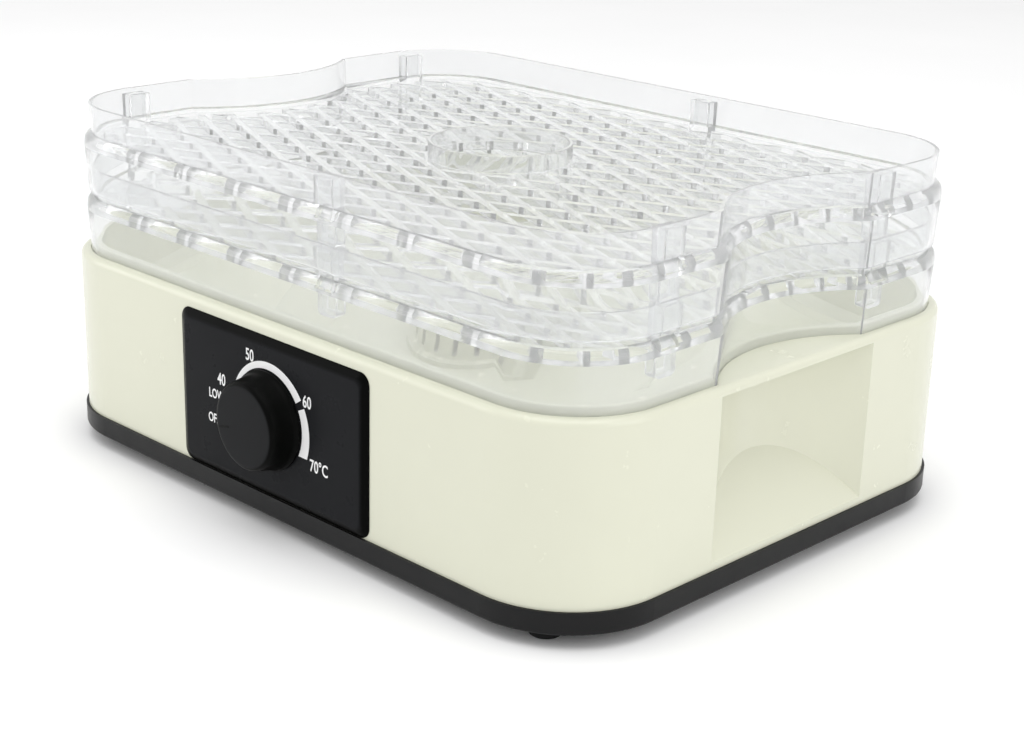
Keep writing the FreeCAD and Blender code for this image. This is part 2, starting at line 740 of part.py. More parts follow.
def motor_stator():
    core = box(-stator_half_x, stator_half_x, -stator_front, stator_back, stack_z, stack_top)
    cuts = [cyl(rotor_r + air_gap, stack_z, stack_top),
            box(-window_half_x, window_half_x, window_front, limb_front, stack_z, stack_top)]
    cuts += [cyl(bolt_r + fit_gap, stack_z, stack_top, s * stator_bolt_x, stator_bolt_y) for s in (-1, 1)]
    return core.cut(Part.makeCompound(cuts))


def motor_coil():
    outer = box(-coil_half_x, coil_half_x, limb_front - coil_wrap, stator_back + coil_wrap,
                stack_z - coil_wrap, stack_top + coil_wrap)
    outer = outer.makeFillet(coil_wrap / 2, [e for e in outer.Edges if abs(e.tangentAt(0).x) > 0.99])
    return outer.cut(box(-coil_half_x, coil_half_x, limb_front - 0.1, stator_back + 0.1,
                         stack_z - 0.1, stack_top + 0.1))


def motor_bridge(z0, z1, bearing_up):
    """Pressed strip across the stack that carries one bearing, and the bearing's seat."""
    strip = box(-bridge_half_x, bridge_half_x, -bridge_half_y, bridge_half_y, z0, z1)
    ears = [box(min(s * bridge_half_x, s * (bridge_half_x - 6)), max(s * bridge_half_x, s * (bridge_half_x - 6)),
                stator_bolt_y - 4.0, bridge_half_y, z0, z1) for s in (-1, 1)]
    seat_z = (z1, z1 + bearing_h - bridge_t) if bearing_up else (z0 - bearing_h + bridge_t, z0)
    seat = cyl(bearing_r + bridge_t, seat_z[0], seat_z[1])
    bridge = fused([strip, seat] + ears)
    bridge = bridge.cut(cyl(bearing_r, z0 - bearing_h, z1 + bearing_h))
    holes = [cyl(bolt_r + 0.1, z0, z1, s * stator_bolt_x, stator_bolt_y) for s in (-1, 1)]
    return bridge.cut(Part.makeCompound(holes))


def motor_bridge_upper():
    return motor_bridge(stack_top, stack_top + bridge_t, True)


def motor_bearings():
    upper = tube(bearing_r, shaft_r + running_gap, stack_top + 0.3, stack_top + bearing_h)
    lower = tube(bearing_r, shaft_r + running_gap, stack_z - bearing_h, stack_z - 0.3)
    return Part.makeCompound([upper, lower])


def motor_bridge_lower():
    z1 = stack_z
    cup = tube(bearing_r + bridge_t, bearing_r, z1 - bearing_h, z1 - bridge_t)
    strip = box(-bridge_half_x, bridge_half_x, -bridge_half_y, bridge_half_y, z1 - bridge_t, z1)
    strip = strip.cut(cyl(bearing_r, z1 - bridge_t, z1))
    room = [cyl(post_r + fit_gap, plate_top, z1, s * stator_bolt_x, stator_bolt_y) for s in (-1, 1)]
    return fused([strip, cup]).cut(Part.makeCompound(room))


def motor_bolts():
    bolts = []
    for s in (-1, 1):
        x, y = s * stator_bolt_x, stator_bolt_y
        top = stack_top + bridge_t
        head = cyl(bolt_head_r, top, top + bolt_head_h, x, y)
        shank = cyl(bolt_r, stack_z, top, x, y).fuse(cyl(bolt_r - 0.35, plate_top + 1.0, stack_z, x, y))
        bolts.append(head.fuse(shank))
    return Part.makeCompound(bolts)


def heater_duct():
    z0 = tub_under - duct_h
    duct = tube(duct_r, duct_r - duct_t, z0, tub_under)
    flange = tube(duct_r + 5.0, duct_r - duct_t, tub_under - duct_t, tub_under)
    return duct.fuse(flange)


def heater_frame():
    z0 = tub_under - 1.0 - heater_fin_h
    z1 = tub_under - 1.0
    hub = tube(heater_hub_r, heater_hub_r - heater_hub_t, z0, z1)
    fins = []
    for i in range(heater_fins):
        fin = box(heater_hub_r - heater_hub_t / 2, duct_r - duct_t - running_gap,
                  -heater_fin_t / 2, heater_fin_t / 2, z0, z1)
        fin.rotate(V(0, 0, 0), V(0, 0, 1), 360.0 * (i + 0.5) / heater_fins)
        fins.append(fin)
    frame = fused([hub] + fins)
    mid = (z0 + z1) / 2
    for r in heater_turns:
        frame = frame.cut(Part.makeTorus(r, heater_wire_r + 0.05, V(0, 0, mid)))
    return frame


def heater_coil():
    mid = tub_under - 1.0 - heater_fin_h / 2
    return Part.makeCompound([Part.makeTorus(r, heater_wire_r, V(0, 0, mid)) for r in heater_turns])


def thermal_fuse():
    p = polar(duct_r + fuse_r, fuse_angle, tub_under - duct_h + 1.0)
    return Part.makeCylinder(fuse_r, fuse_len, p)


# ---------------------------------------------------------------- mains side
def cord_gland():
    y1 = body_depth / 2
    body = cyl_y(gland_body_r, y1 - shell_wall, y1, gland_x, gland_z)
    outside = cyl_y(gland_flange_r, y1, y1 + gland_flange_t, gland_x, gland_z)
    edge = [e for e in outside.Edges if e.BoundBox.YMin > y1 + gland_flange_t - 0.01]
    outside = outside.makeFillet(gland_flange_t / 3, edge)
    inside = cyl_y(gland_flange_r - 1.0, y1 - shell_wall - gland_flange_t, y1 - shell_wall, gland_x, gland_z)
    gland = fused([body, outside, inside])
    return gland.cut(cyl_y(gland_bore_r, y1 - 20.0, y1 + 20.0, gland_x, gland_z))


def terminal_block():
    block = box(block_x - block_l / 2, block_x + block_l / 2, block_y - block_w / 2, block_y + block_w / 2,
                plate_top, plate_top + block_h)
    pitch = block_l / block_poles
    cuts = []
    for i in range(block_poles):
        x = block_x - block_l / 2 + (i + 0.5) * pitch
        cuts.append(cyl_y(2.0, block_y - block_w, block_y + block_w, x, plate_top + 0.4 * block_h))
        cuts.append(cyl(1.8, plate_top + 0.5 * block_h, plate_top + block_h + 1.0, x, block_y))
    for i in range(1, block_poles):
        x = block_x - block_l / 2 + i * pitch
        cuts.append(box(x - 0.6, x + 0.6, block_y - block_w, block_y + block_w,
                        plate_top + 0.7 * block_h, plate_top + block_h + 1.0))
    return block.cut(Part.makeCompound(cuts))


def wire_tube(points):
    """Round lead along straight runs joined by tangent arcs."""
    edges = []
    start = points[0]
    for a, b, c in zip(points, points[1:], points[2:]):
        u = (a - b).normalize()
        w = (c - b).normalize()
        half = u.getAngle(w) / 2
        reach = min(wire_bend / math.tan(half), 0.45 * min((a - b).Length, (c - b).Length))
        r = reach * math.tan(half)
        p0 = b + u * reach
        p1 = b + w * reach
        bis = (u + w).normalize()
        mid = b + bis * (r / math.sin(half) - r)
        edges.append(Part.makeLine(start, p0))
        edges.append(Part.Arc(p0, mid, p1).toShape())
        start = p1
    edges.append(Part.makeLine(start, points[-1]))
    path = Part.Wire(edges)
    first = (points[1] - points[0]).normalize()
    circle = Part.Wire(Part.makeCircle(wire_r, points[0], first))
    return path.makePipeShell([circle], True, False)


def inner_wires():
    pitch = block_l / block_poles
    z = plate_top + 0.4 * block_h
    y_near = block_y - block_w / 2
    y_far = block_y + block_w / 2
    gland_y = body_depth / 2 - shell_wall - gland_flange_t
    xs = [block_x - block_l / 2 + (i + 0.5) * pitch for i in range(block_poles)]
    tab_y = front_y + shell_wall + stat_plate_t + stat_len + 6.0
    coil_y = stator_back + coil_wrap
    return Part.makeCompound([
        wire_tube([V(xs[1], y_far, z), V(xs[1], y_far + 10, z), V(gland_x - 1, gland_y - 18, gland_z),
                   V(gland_x - 1, gland_y, gland_z)]),
        wire_tube([V(xs[0], y_near, z), V(xs[0], 20, z), V(50, -40, z), V(7, -60, z + 20),
                   V(7, tab_y + 14, z + 22), V(7, tab_y + 2, dial_z - 0.4 - wire_r)]),
        wire_tube([V(xs[2], y_near, z), V(xs[2], y_near - 12, z + 6), V(70, y_near - 18, z + 8),
                   V(30, coil_y + 8, z + 8), V(6, coil_y + 10, stack_top - 6), V(6, coil_y, stack_top - 6)]),
    ])


# ---------------------------------------------------------------- build and write
def build():
    grips = hand_grips()
    nodes = {
        **housing_stretches(),
        "tub_floor": tub_floor(),
        "hand_grip_right": grips[0],
        "hand_grip_left": grips[1],
        "bottom_plate": bottom_plate(),
        "rubber_feet": rubber_feet(),
        "housing_screws": housing_screws(),
        "air_turret": air_turret(),
        "control_panel": control_panel(),
        "panel_scale": panel_scale(),
        "thermostat_body": thermostat_body(),
        "thermostat_plate": thermostat_plate(),
        "thermostat_nut": thermostat_nut(),
        "thermostat_shaft": thermostat_shaft(),
        "control_knob": control_knob(),
        "knob_pointer": knob_pointer(),
        "motor_stator": motor_stator(),
        "motor_coil": motor_coil(),
        "motor_bridge_upper": motor_bridge_upper(),
        "motor_bridge_lower": motor_bridge_lower(),
        "motor_bearings": motor_bearings(),
        "motor_bolts": motor_bolts(),
        "motor_rotor": motor_rotor(),
        "motor_shaft": motor_shaft(),
        "fan_impeller": fan_impeller(),
        "heater_duct": heater_duct(),
        "heater_frame": heater_frame(),
        "heater_coil": heater_coil(),
        "thermal_fuse": thermal_fuse(),
        "terminal_block": terminal_block(),
        "inner_wires": inner_wires(),
        "cord_gland": cord_gland(),
    }
    pieces = {"wall": tray_wall(), "mesh": tray_mesh(), "collar": tray_collar()}
    for i, name in enumerate(tray_count_names):
        for piece, shape in pieces.items():
            placed = shape.copy()
            placed.translate(V(0, 0, tray_seat_z + i * tray_pitch))
            nodes["tray_%s_%s" % (name, piece)] = placed
    return nodes


os.makedirs("parts", exist_ok=True)
for node, shape in build().items():
    shape.translate(V(0, -origin_y, 0))
    shape.exportStep("parts/%s.step" % node)
    b = shape.BoundBox
    print("%-20s solids %2d valid %s  %7.1f %7.1f %7.1f  %7.1f %7.1f %7.1f" % (
        node, len(shape.Solids), shape.isValid(), b.XMin, b.YMin, b.ZMin, b.XMax, b.YMax, b.ZMax))
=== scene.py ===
import json
import math

import bpy
import bmesh
from mathutils import Matrix, Vector


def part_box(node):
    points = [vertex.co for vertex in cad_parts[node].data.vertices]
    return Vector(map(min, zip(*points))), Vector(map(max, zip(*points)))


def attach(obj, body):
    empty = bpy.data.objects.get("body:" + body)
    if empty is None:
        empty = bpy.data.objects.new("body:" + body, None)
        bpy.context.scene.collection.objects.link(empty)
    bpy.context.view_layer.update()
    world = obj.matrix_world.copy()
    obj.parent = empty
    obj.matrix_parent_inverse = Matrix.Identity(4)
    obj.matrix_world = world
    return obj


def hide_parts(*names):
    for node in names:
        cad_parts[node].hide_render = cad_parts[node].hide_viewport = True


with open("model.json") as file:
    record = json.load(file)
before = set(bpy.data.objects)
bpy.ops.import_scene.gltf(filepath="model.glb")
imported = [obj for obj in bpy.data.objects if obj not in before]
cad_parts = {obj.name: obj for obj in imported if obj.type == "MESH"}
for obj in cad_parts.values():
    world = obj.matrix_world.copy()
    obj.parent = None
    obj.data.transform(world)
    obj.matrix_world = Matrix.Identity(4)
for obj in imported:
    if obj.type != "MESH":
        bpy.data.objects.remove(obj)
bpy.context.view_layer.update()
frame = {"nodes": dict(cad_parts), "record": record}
NODES = frame["nodes"]
MM_PER_M = 1000

# Middle of the housing from front to back: the frame's origin is the middle of the whole box, knob included.
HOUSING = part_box("bottom_plate")
MID_Y = (HOUSING[0].y + HOUSING[1].y) / 2


# ---------------------------------------------------------------- objects and meshes
def linked(name, data):
    """A new object for a mesh, curve, light or camera, put in the scene."""
    obj = bpy.data.objects.new(name, data)
    bpy.context.scene.collection.objects.link(obj)
    return obj


def mesh_of(name, bm):
    mesh = bpy.data.meshes.new(name)
    bm.to_mesh(mesh)
    bm.free()
    return mesh


def final_mesh(obj):
    """The object's mesh with its modifiers applied, or the mesh a curve makes."""
    return bpy.data.meshes.new_from_object(obj.evaluated_get(bpy.context.evaluated_depsgraph_get()))


# ---------------------------------------------------------------- materials
def new_material(name):
    mat = bpy.data.materials.new(name)
    mat.use_nodes = True
    tree = mat.node_tree
    tree.nodes.clear()
    out = tree.nodes.new("ShaderNodeOutputMaterial")
    bsdf = tree.nodes.new("ShaderNodeBsdfPrincipled")
    tree.links.new(bsdf.outputs[0], out.inputs["Surface"])
    return mat, tree, bsdf, out


def object_coords(tree):
    return tree.nodes.new("ShaderNodeTexCoord").outputs["Object"]


def scaled(tree, vector, scale):
    node = tree.nodes.new("ShaderNodeMapping")
    node.inputs["Scale"].default_value = scale
    tree.links.new(vector, node.inputs["Vector"])
    return node.outputs["Vector"]


def noise(tree, vector, scale, detail=4.0, rough=0.55):
    node = tree.nodes.new("ShaderNodeTexNoise")
    node.inputs["Scale"].default_value = scale
    node.inputs["Detail"].default_value = detail
    node.inputs["Roughness"].default_value = rough
    tree.links.new(vector, node.inputs["Vector"])
    return node.outputs["Fac"]


def span(tree, value, lo, hi, src_lo=0.3, src_hi=0.7):
    node = tree.nodes.new("ShaderNodeMapRange")
    node.inputs["From Min"].default_value = src_lo
    node.inputs["From Max"].default_value = src_hi
    node.inputs["To Min"].default_value = lo
    node.inputs["To Max"].default_value = hi
    tree.links.new(value, node.inputs["Value"])
    return node.outputs["Result"]


def ramp(tree, value, stops):
    node = tree.nodes.new("ShaderNodeValToRGB")
    while len(node.color_ramp.elements) < len(stops):
        node.color_ramp.elements.new(0.5)
    for element, (at, colour) in zip(node.color_ramp.elements, stops):
        element.position = at
        element.color = (*colour, 1.0)
    tree.links.new(value, node.inputs["Fac"])
    return node.outputs["Color"]


def bump(tree, bsdf, height, strength, distance):
    node = tree.nodes.new("ShaderNodeBump")
    node.inputs["Strength"].default_value = strength
    node.inputs["Distance"].default_value = distance
    tree.links.new(height, node.inputs["Height"])
    tree.links.new(node.outputs["Normal"], bsdf.inputs["Normal"])


def facing_front(tree):
    """1 on faces that look along -Y, 0 on everything that slopes away from it; it sets where the painted
    reflection and the painted shade go.
    """
    parts = tree.nodes.new("ShaderNodeSeparateXYZ")
    tree.links.new(tree.nodes.new("ShaderNodeTexCoord").outputs["Normal"], parts.inputs[0])
    return span(tree, parts.outputs["Y"], lo=1.0, hi=0.0, src_lo=-0.99, src_hi=-0.9)


def plastic(name, colour, rough, spread=0.06, grain=900.0, grain_depth=0.000005, tint=0.03, cloud=14.0,
            coat=0.0, specular=0.5, shaded_side_colour=None):
    """Moulded plastic: slow colour drift, uneven gloss and a fine moulding grain.

    Given a side colour, colour shows only on faces that look to the front, where it also holds a painted
    reflection of the bright floor; faces that slope away take the side colour, a painted shade.
    """
    mat, tree, bsdf, _ = new_material(name)
    at = object_coords(tree)
    drift = noise(tree, at, cloud, 3.0)
    dark = tuple(c * (1.0 - tint) for c in colour)
    light = tuple(min(1.0, c * (1.0 + tint)) for c in colour)
    body = ramp(tree, drift, ((0.32, dark), (0.68, light)))
    # Painted light: front faces keep the lighter colour as a painted reflection of the floor, and sloping
    # faces get the near-black side colour as painted shade.
    if shaded_side_colour:
        mix = tree.nodes.new("ShaderNodeMix")
        mix.data_type = "RGBA"
        mix.inputs["A"].default_value = (*shaded_side_colour, 1.0)
        tree.links.new(facing_front(tree), mix.inputs["Factor"])
        tree.links.new(body, mix.inputs["B"])
        body = mix.outputs["Result"]
    tree.links.new(body, bsdf.inputs["Base Color"])
    wear = noise(tree, at, cloud * 6.0, 6.0, 0.6)
    tree.links.new(span(tree, wear, rough - spread, rough + spread), bsdf.inputs["Roughness"])
    bump(tree, bsdf, noise(tree, at, grain, 2.0), 0.4, grain_depth)
    bsdf.inputs["IOR"].default_value = 1.5
    bsdf.inputs["Specular IOR Level"].default_value = specular
    bsdf.inputs["Coat Weight"].default_value = coat
    bsdf.inputs["Coat Roughness"].default_value = 0.06
    return mat


def metal(name, colour, rough, stretch=(1.0, 1.0, 1.0), grain=400.0):
    """Bare metal with fine marks, drawn out into lines where stretch is uneven."""
    mat, tree, bsdf, _ = new_material(name)
    at = scaled(tree, object_coords(tree), stretch)
    lines = noise(tree, at, grain, 5.0, 0.65)
    dark = tuple(c * 0.86 for c in colour)
    tree.links.new(ramp(tree, lines, ((0.3, dark), (0.7, colour))), bsdf.inputs["Base Color"])
    tree.links.new(span(tree, lines, rough - 0.08, rough + 0.1), bsdf.inputs["Roughness"])
    bump(tree, bsdf, lines, 0.3, 0.00003)
    bsdf.inputs["Metallic"].default_value = 1.0
    return mat


CLEAR_IOR = 1.34             # under styrene's 1.59, so that stacked trays look as clear as in the photo


def clear_plastic(name, colour=(0.955, 0.96, 0.966), rough=0.03, haze=0.17):
    """Clear plastic with a faint milky haze: bends light, and lets lamplight reach what it covers."""
    mat, tree, bsdf, out = new_material(name)
    at = object_coords(tree)
    flow = noise(tree, at, 22.0, 3.0)
    dim = tuple(c * 0.985 for c in colour)
    body = ramp(tree, noise(tree, at, 9.0, 3.0), ((0.3, dim), (0.7, colour)))
    tree.links.new(body, bsdf.inputs["Base Color"])
    tree.links.new(span(tree, flow, rough * 0.5, rough * 1.8), bsdf.inputs["Roughness"])
    bsdf.inputs["Transmission Weight"].default_value = 1.0 - haze
    bsdf.inputs["IOR"].default_value = CLEAR_IOR
    bump(tree, bsdf, noise(tree, at, 60.0, 2.0), 0.25, 0.0002)
    clear = tree.nodes.new("ShaderNodeBsdfTransparent")
    clear.inputs["Color"].default_value = (0.93, 0.94, 0.93, 1.0)
    path = tree.nodes.new("ShaderNodeLightPath")
    mix = tree.nodes.new("ShaderNodeMixShader")
    tree.links.new(path.outputs["Is Shadow Ray"], mix.inputs["Fac"])
    tree.links.new(bsdf.outputs[0], mix.inputs[1])
    tree.links.new(clear.outputs[0], mix.inputs[2])
    tree.links.new(mix.outputs[0], out.inputs["Surface"])
    return mat


CREAM = (0.665, 0.67, 0.545)
# Painted shade: the near black for the faces of the dial panel and knob that slope away from the front.
SLOPE_SHADE_BLACK = (0.0018, 0.002, 0.0018)
MATERIALS = {
    "shell_cream": plastic("shell_cream", CREAM, 0.24, spread=0.04, tint=0.012, coat=0.15),
    "turret_cream": plastic("turret_cream", CREAM, 0.26, spread=0.04, tint=0.012),
    "plate_black": plastic("plate_black", (0.004, 0.004, 0.0045), 0.38, grain=1400.0, grain_depth=0.00004,
                           specular=0.22),
    "rubber_black": plastic("rubber_black", (0.012, 0.012, 0.012), 0.75, grain=700.0, grain_depth=0.00008,
                            specular=0.2),
    # Dial panel and knob: front faces painted lighter as a reflection of the floor, sloping faces painted in
    # shade.
    "panel_black": plastic("panel_black", (0.0145, 0.015, 0.0165), 0.3, spread=0.05, tint=0.06, specular=0.03,
                           shaded_side_colour=SLOPE_SHADE_BLACK),
    "knob_black": plastic("knob_black", (0.0145, 0.015, 0.016), 0.36, grain=1600.0, grain_depth=0.00001,
                          specular=0.04, shaded_side_colour=SLOPE_SHADE_BLACK),
    # Painted shade: the pointer's near black stands in for the shade inside a groove.
    "pointer_dark": plastic("pointer_dark", (0.002, 0.002, 0.002), 0.5, specular=0.1),
    "print_white": plastic("print_white", (0.9, 0.9, 0.9), 0.45, tint=0.02),
    "tray_clear": clear_plastic("tray_clear"),
    "steel_zinc": metal("steel_zinc", (0.62, 0.63, 0.65), 0.34),
    "steel_core": metal("steel_core", (0.30, 0.30, 0.32), 0.45, stretch=(0.05, 0.05, 12.0), grain=260.0),
    "brass_nut": metal("brass_nut", (0.72, 0.56, 0.28), 0.28),
    "coil_tape": plastic("coil_tape", (0.55, 0.40, 0.06), 0.35, tint=0.12),
    "rotor_alu": metal("rotor_alu", (0.72, 0.72, 0.73), 0.38),
    "fan_white": plastic("fan_white", (0.74, 0.74, 0.72), 0.4),
    "duct_alu": metal("duct_alu", (0.76, 0.77, 0.78), 0.3),
    "mica": plastic("mica", (0.48, 0.38, 0.24), 0.5, tint=0.2, cloud=60.0),
    "heater_wire": metal("heater_wire", (0.36, 0.34, 0.33), 0.4, grain=900.0),
    "stat_dark": plastic("stat_dark", (0.05, 0.035, 0.03), 0.4, tint=0.2),
    "block_white": plastic("block_white", (0.8, 0.8, 0.76), 0.4),
    "wire_brown": plastic("wire_brown", (0.2, 0.09, 0.04), 0.5),
    "gland_black": plastic("gland_black", (0.006, 0.006, 0.006), 0.6, specular=0.25),
}


for entry in frame["record"]["subparts"]:
    node = NODES[entry["node"]]
    node.data.materials.clear()
    node.data.materials.append(MATERIALS[entry["material_slot"]])


# ---------------------------------------------------------------- visible pieces
SHARP_ANGLE = math.radians(35.0)


def smooth(obj):
    """Smooth shading, with edges of SHARP_ANGLE and more kept sharp."""
    bm = bmesh.new()
    bm.from_mesh(obj.data)
    for face in bm.faces:
        face.smooth = True
    for edge in bm.edges:
        edge.smooth = len(edge.link_faces) == 2 and edge.calc_face_angle(0.0) < SHARP_ANGLE
    bm.to_mesh(obj.data)
    bm.free()


def show(name, mesh, material, body, replaced=()):
    """A visible piece of one material that rides on a body, in place of the CAD nodes in replaced."""
    obj = linked(name, mesh)
    obj.data.materials.clear()
    obj.data.materials.append(MATERIALS[material])
    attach(obj, body)
    if replaced:
        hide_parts(*replaced)
    return obj


# ---------------------------------------------------------------- clear trays
TRAY_GROW = 1.0012          # lets the mesh floor bite 0.2 mm into the wall
COLLAR_GROW = 1.006         # lets the collar bite 0.2 mm into the mesh floor
SEAM_GROW = 1.006           # lets the side fields of the floor bite into the front and back ones
COLLAR_R = 31.0             # mm
FIELD_SPLIT = COLLAR_R / 2 ** 0.5 / MM_PER_M    # the floor's fields meet at this distance from the middle
WELD = 1e-6                 # m, corners closer than this become one
INSIDE = 1e-5               # m, how far behind a face its field is looked up


def grown(bm, x, y):
    """Welds the shared corners and grows the mesh in X and Y about the housing's middle."""
    bmesh.ops.remove_doubles(bm, verts=bm.verts, dist=WELD)
    for v in bm.verts:
        v.co.x *= x
        v.co.y = MID_Y + (v.co.y - MID_Y) * y
    return bm


def solid_of(node, grow):
    """A CAD node's mesh, grown about the housing's middle."""
    bm = bmesh.new()
    bm.from_mesh(NODES[node].data)
    return grown(bm, grow, grow)


def floor_fields(node):
    """The four solids of a tray's mesh floor, which touch along two lines across it."""
    bm = bmesh.new()
    bm.from_mesh(NODES[node].data)
    fields = {}
    for face in bm.faces:
        inside = face.calc_center_median() - face.normal * INSIDE
        y = inside.y - MID_Y
        if abs(y) > FIELD_SPLIT:
            key = "front" if y < 0 else "back"
        else:
            key = "left" if inside.x < 0 else "right"
        part = fields.setdefault(key, bmesh.new())
        part.faces.new([part.verts.new(v.co) for v in face.verts])
    bm.free()
    return [grown(part, TRAY_GROW, TRAY_GROW * (SEAM_GROW if key in ("left", "right") else 1.0))
            for key, part in fields.items()]


def as_object(name, bm):
    return linked(name, mesh_of(name, bm))


def united(parts):
    """One seamless mesh out of overlapping solids, which it uses up."""
    base = parts[0]
    for part in parts[1:]:
        join = base.modifiers.new("join", "BOOLEAN")
        join.operation = "UNION"
        join.solver = "MANIFOLD"
        join.object = part
    shape = final_mesh(base)
    for part in parts:
        bpy.data.objects.remove(part, do_unlink=True)
    return shape


def clear_tray(which):
    """A tray as the one moulding it is: wall, mesh floor and collar."""
    body = "tray_" + which
    wall, mesh, collar = nodes = [body + "_" + piece for piece in ("wall", "mesh", "collar")]
    parts = [as_object("wall", solid_of(wall, 1.0)), as_object("collar", solid_of(collar, COLLAR_GROW))]
    parts += [as_object("field", field) for field in floor_fields(mesh)]
    return show("clear_tray_" + which, united(parts), "tray_clear", body, nodes)


# ---------------------------------------------------------------- control panel and dial
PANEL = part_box("control_panel")
PANEL_FACE_Y = PANEL[0].y
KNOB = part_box("control_knob")
DIAL_Z = (KNOB[0].z + KNOB[1].z) / 2
PANEL_CORNER = 5.0                           # mm, radius
PANEL_CORNER_LEAST = 1.0                     # mm, at the innermost step
# From the panel's back edge to its face: inset and depth in mm, listed from the last to the first.
PANEL_STEPS = ((0.0, 2.2), (0.0, 1.9), (0.25, 1.55), (3.3, 0.25), (3.8, 0.06), (4.4, 0.0))
# From the knob's back to its face: radius and height in mm.
KNOB_PROFILE = ((0.0, 0.0), (20.4, 0.0), (20.9, 0.3), (20.9, 1.0), (20.2, 1.6), (19.7, 3.0), (18.9, 8.0),
                (18.5, 10.2), (18.1, 11.3), (17.4, 12.0), (16.6, 12.3), (15.8, 12.35), (0.0, 12.35))
KNOB_SIDES = 96
# The pointer is drawn as a near-black strip set into the knob's face, its colour painted shade standing in
# for a groove.
POINTER = (9.5, 16.2, 0.9, 12.1, 12.43)      # from, to, width, low and high in mm
POINTER_ANGLE = math.radians(194.0)
SCALE_INNER = 21.4                           # mm, radius
SCALE_WIDTHS = (2.0, 4.8)                    # mm, at the cold and at the hot end
# Degrees from end to end along the inner and the outer edge of each arc.
SCALE_ARCS = (((158.0, 34.0), (158.0, 34.0)), ((26.0, -27.0), (26.0, -22.0)))
PRINT_T = 0.00005                            # m, half the thickness of the print
# Words, place on the panel and size in mm.
LABELS = (("OFF", -36.1, 39.5, 5.8), ("LOW", -34.1, 50.4, 5.8), ("40", -30.3, 57.9, 7.2),
          ("50", -11.2, 73.4, 7.2), ("60", 24.6, 63.1, 7.2), ("70\u00b0C", 31.5, 37.4, 7.2))
LETTER_WIDTH = 0.74                          # of the font's own
LETTER_BOLD = 0.00008                        # m added all round each stroke


def lofted(name, loops):
    """A closed solid through loops of equal length; a loop of one point closes an end to a tip."""
    bm = bmesh.new()
    rings = [[bm.verts.new(p) for p in loop] for loop in loops]
    for low, high in zip(rings, rings[1:]):
        n = max(len(low), len(high))
        for i in range(n):
            j = (i + 1) % n
            corners = [low[i % len(low)], low[j % len(low)], high[j % len(high)], high[i % len(high)]]
            bm.faces.new([v for k, v in enumerate(corners) if v not in corners[:k]])
    for ring in (rings[0], rings[-1]):
        if len(ring) > 2:
            bm.faces.new(ring)
    bmesh.ops.recalc_face_normals(bm, faces=bm.faces)
    return mesh_of(name, bm)


def panel_loop(inset, depth, steps=10):
    """Rounded rectangle of the panel, drawn in by inset, depth behind its face (mm)."""
    r = max(PANEL_CORNER - 0.5 * inset, PANEL_CORNER_LEAST) / MM_PER_M
    y = PANEL_FACE_Y + depth / MM_PER_M
    inset /= MM_PER_M
    x0, x1, z0, z1 = PANEL[0].x + inset, PANEL[1].x - inset, PANEL[0].z + inset, PANEL[1].z - inset
    centres = ((x1 - r, z1 - r), (x0 + r, z1 - r), (x0 + r, z0 + r), (x1 - r, z0 + r))
    loop = []
    for k, (cx, cz) in enumerate(centres):
        for i in range(steps + 1):
            t = math.radians(90.0 * (k + i / steps))
            loop.append((cx + r * math.cos(t), y, cz + r * math.sin(t)))
    return loop


def knob_loop(radius, height):
    """Circle round the knob's axis, height in front of its back (mm); a point where the radius is 0."""
    radius, y = radius / MM_PER_M, KNOB[1].y - height / MM_PER_M
    if radius == 0.0:
        return [(0.0, y, DIAL_Z)]
    turns = (math.tau * i / KNOB_SIDES for i in range(KNOB_SIDES))
    return [(radius * math.cos(t), y, DIAL_Z + radius * math.sin(t)) for t in turns]


def pointer_mesh():
    """The short line on the knob's face: a near-black strip whose colour is the painted shade of a groove."""
    r0, r1, width, low, high = (v / MM_PER_M for v in POINTER)
    c, n = math.cos(POINTER_ANGLE), math.sin(POINTER_ANGLE)
    flat = [(r0, -width / 2), (r1, -width / 2), (r1, width / 2), (r0, width / 2)]
    return lofted("pointer", [[(u * c - v * n, KNOB[1].y - h, DIAL_Z + u * n + v * c) for u, v in flat]
                              for h in (low, high)])


def scale_arc(inner, outer, steps=40):
    """One printed arc, wider towards the hot end of the scale."""
    cold, hot = SCALE_ARCS[0][0][0], SCALE_ARCS[-1][0][1]
    sides = []
    for (a0, a1), is_outer in ((inner, False), (outer, True)):
        line = []
        for i in range(steps + 1):
            a = a0 + (a1 - a0) * i / steps
            r = SCALE_INNER
            if is_outer:
                r += SCALE_WIDTHS[0] + (SCALE_WIDTHS[1] - SCALE_WIDTHS[0]) * (cold - a) / (cold - hot)
            line.append((r / MM_PER_M * math.cos(math.radians(a)), r / MM_PER_M * math.sin(math.radians(a))))
        sides.append(line)
    edge = sides[0] + sides[1][::-1]
    bm = bmesh.new()
    rings = [[bm.verts.new((x, PANEL_FACE_Y - t, DIAL_Z + z)) for x, z in edge] for t in (0.0, 2 * PRINT_T)]
    n = len(edge)
    for i in range(n):
        bm.faces.new((rings[0][i], rings[0][(i + 1) % n], rings[1][(i + 1) % n], rings[1][i]))
    for ring in rings:
        for i in range(steps):
            bm.faces.new((ring[i], ring[i + 1], ring[n - 2 - i], ring[n - 1 - i]))
    bmesh.ops.recalc_face_normals(bm, faces=bm.faces)
    return mesh_of("scale_arc", bm)


def label_mesh(words, x, z, size):
    """A printed dial mark, a tenth of a millimetre thick, sitting on the panel's face."""
    curve = bpy.data.curves.new("label", "FONT")
    curve.body = words
    curve.size = size / MM_PER_M
    curve.align_x = "CENTER"
    curve.align_y = "CENTER"
    curve.extrude = PRINT_T
    curve.offset = LETTER_BOLD
    curve.resolution_u = 3
    maker = linked("label", curve)
    mesh = final_mesh(maker)
    bpy.data.objects.remove(maker, do_unlink=True)
    x, z = x / MM_PER_M, z / MM_PER_M
    for v in mesh.vertices:
        v.co = Vector((v.co.x * LETTER_WIDTH + x, PANEL_FACE_Y - PRINT_T - v.co.z, v.co.y + z))
    return mesh


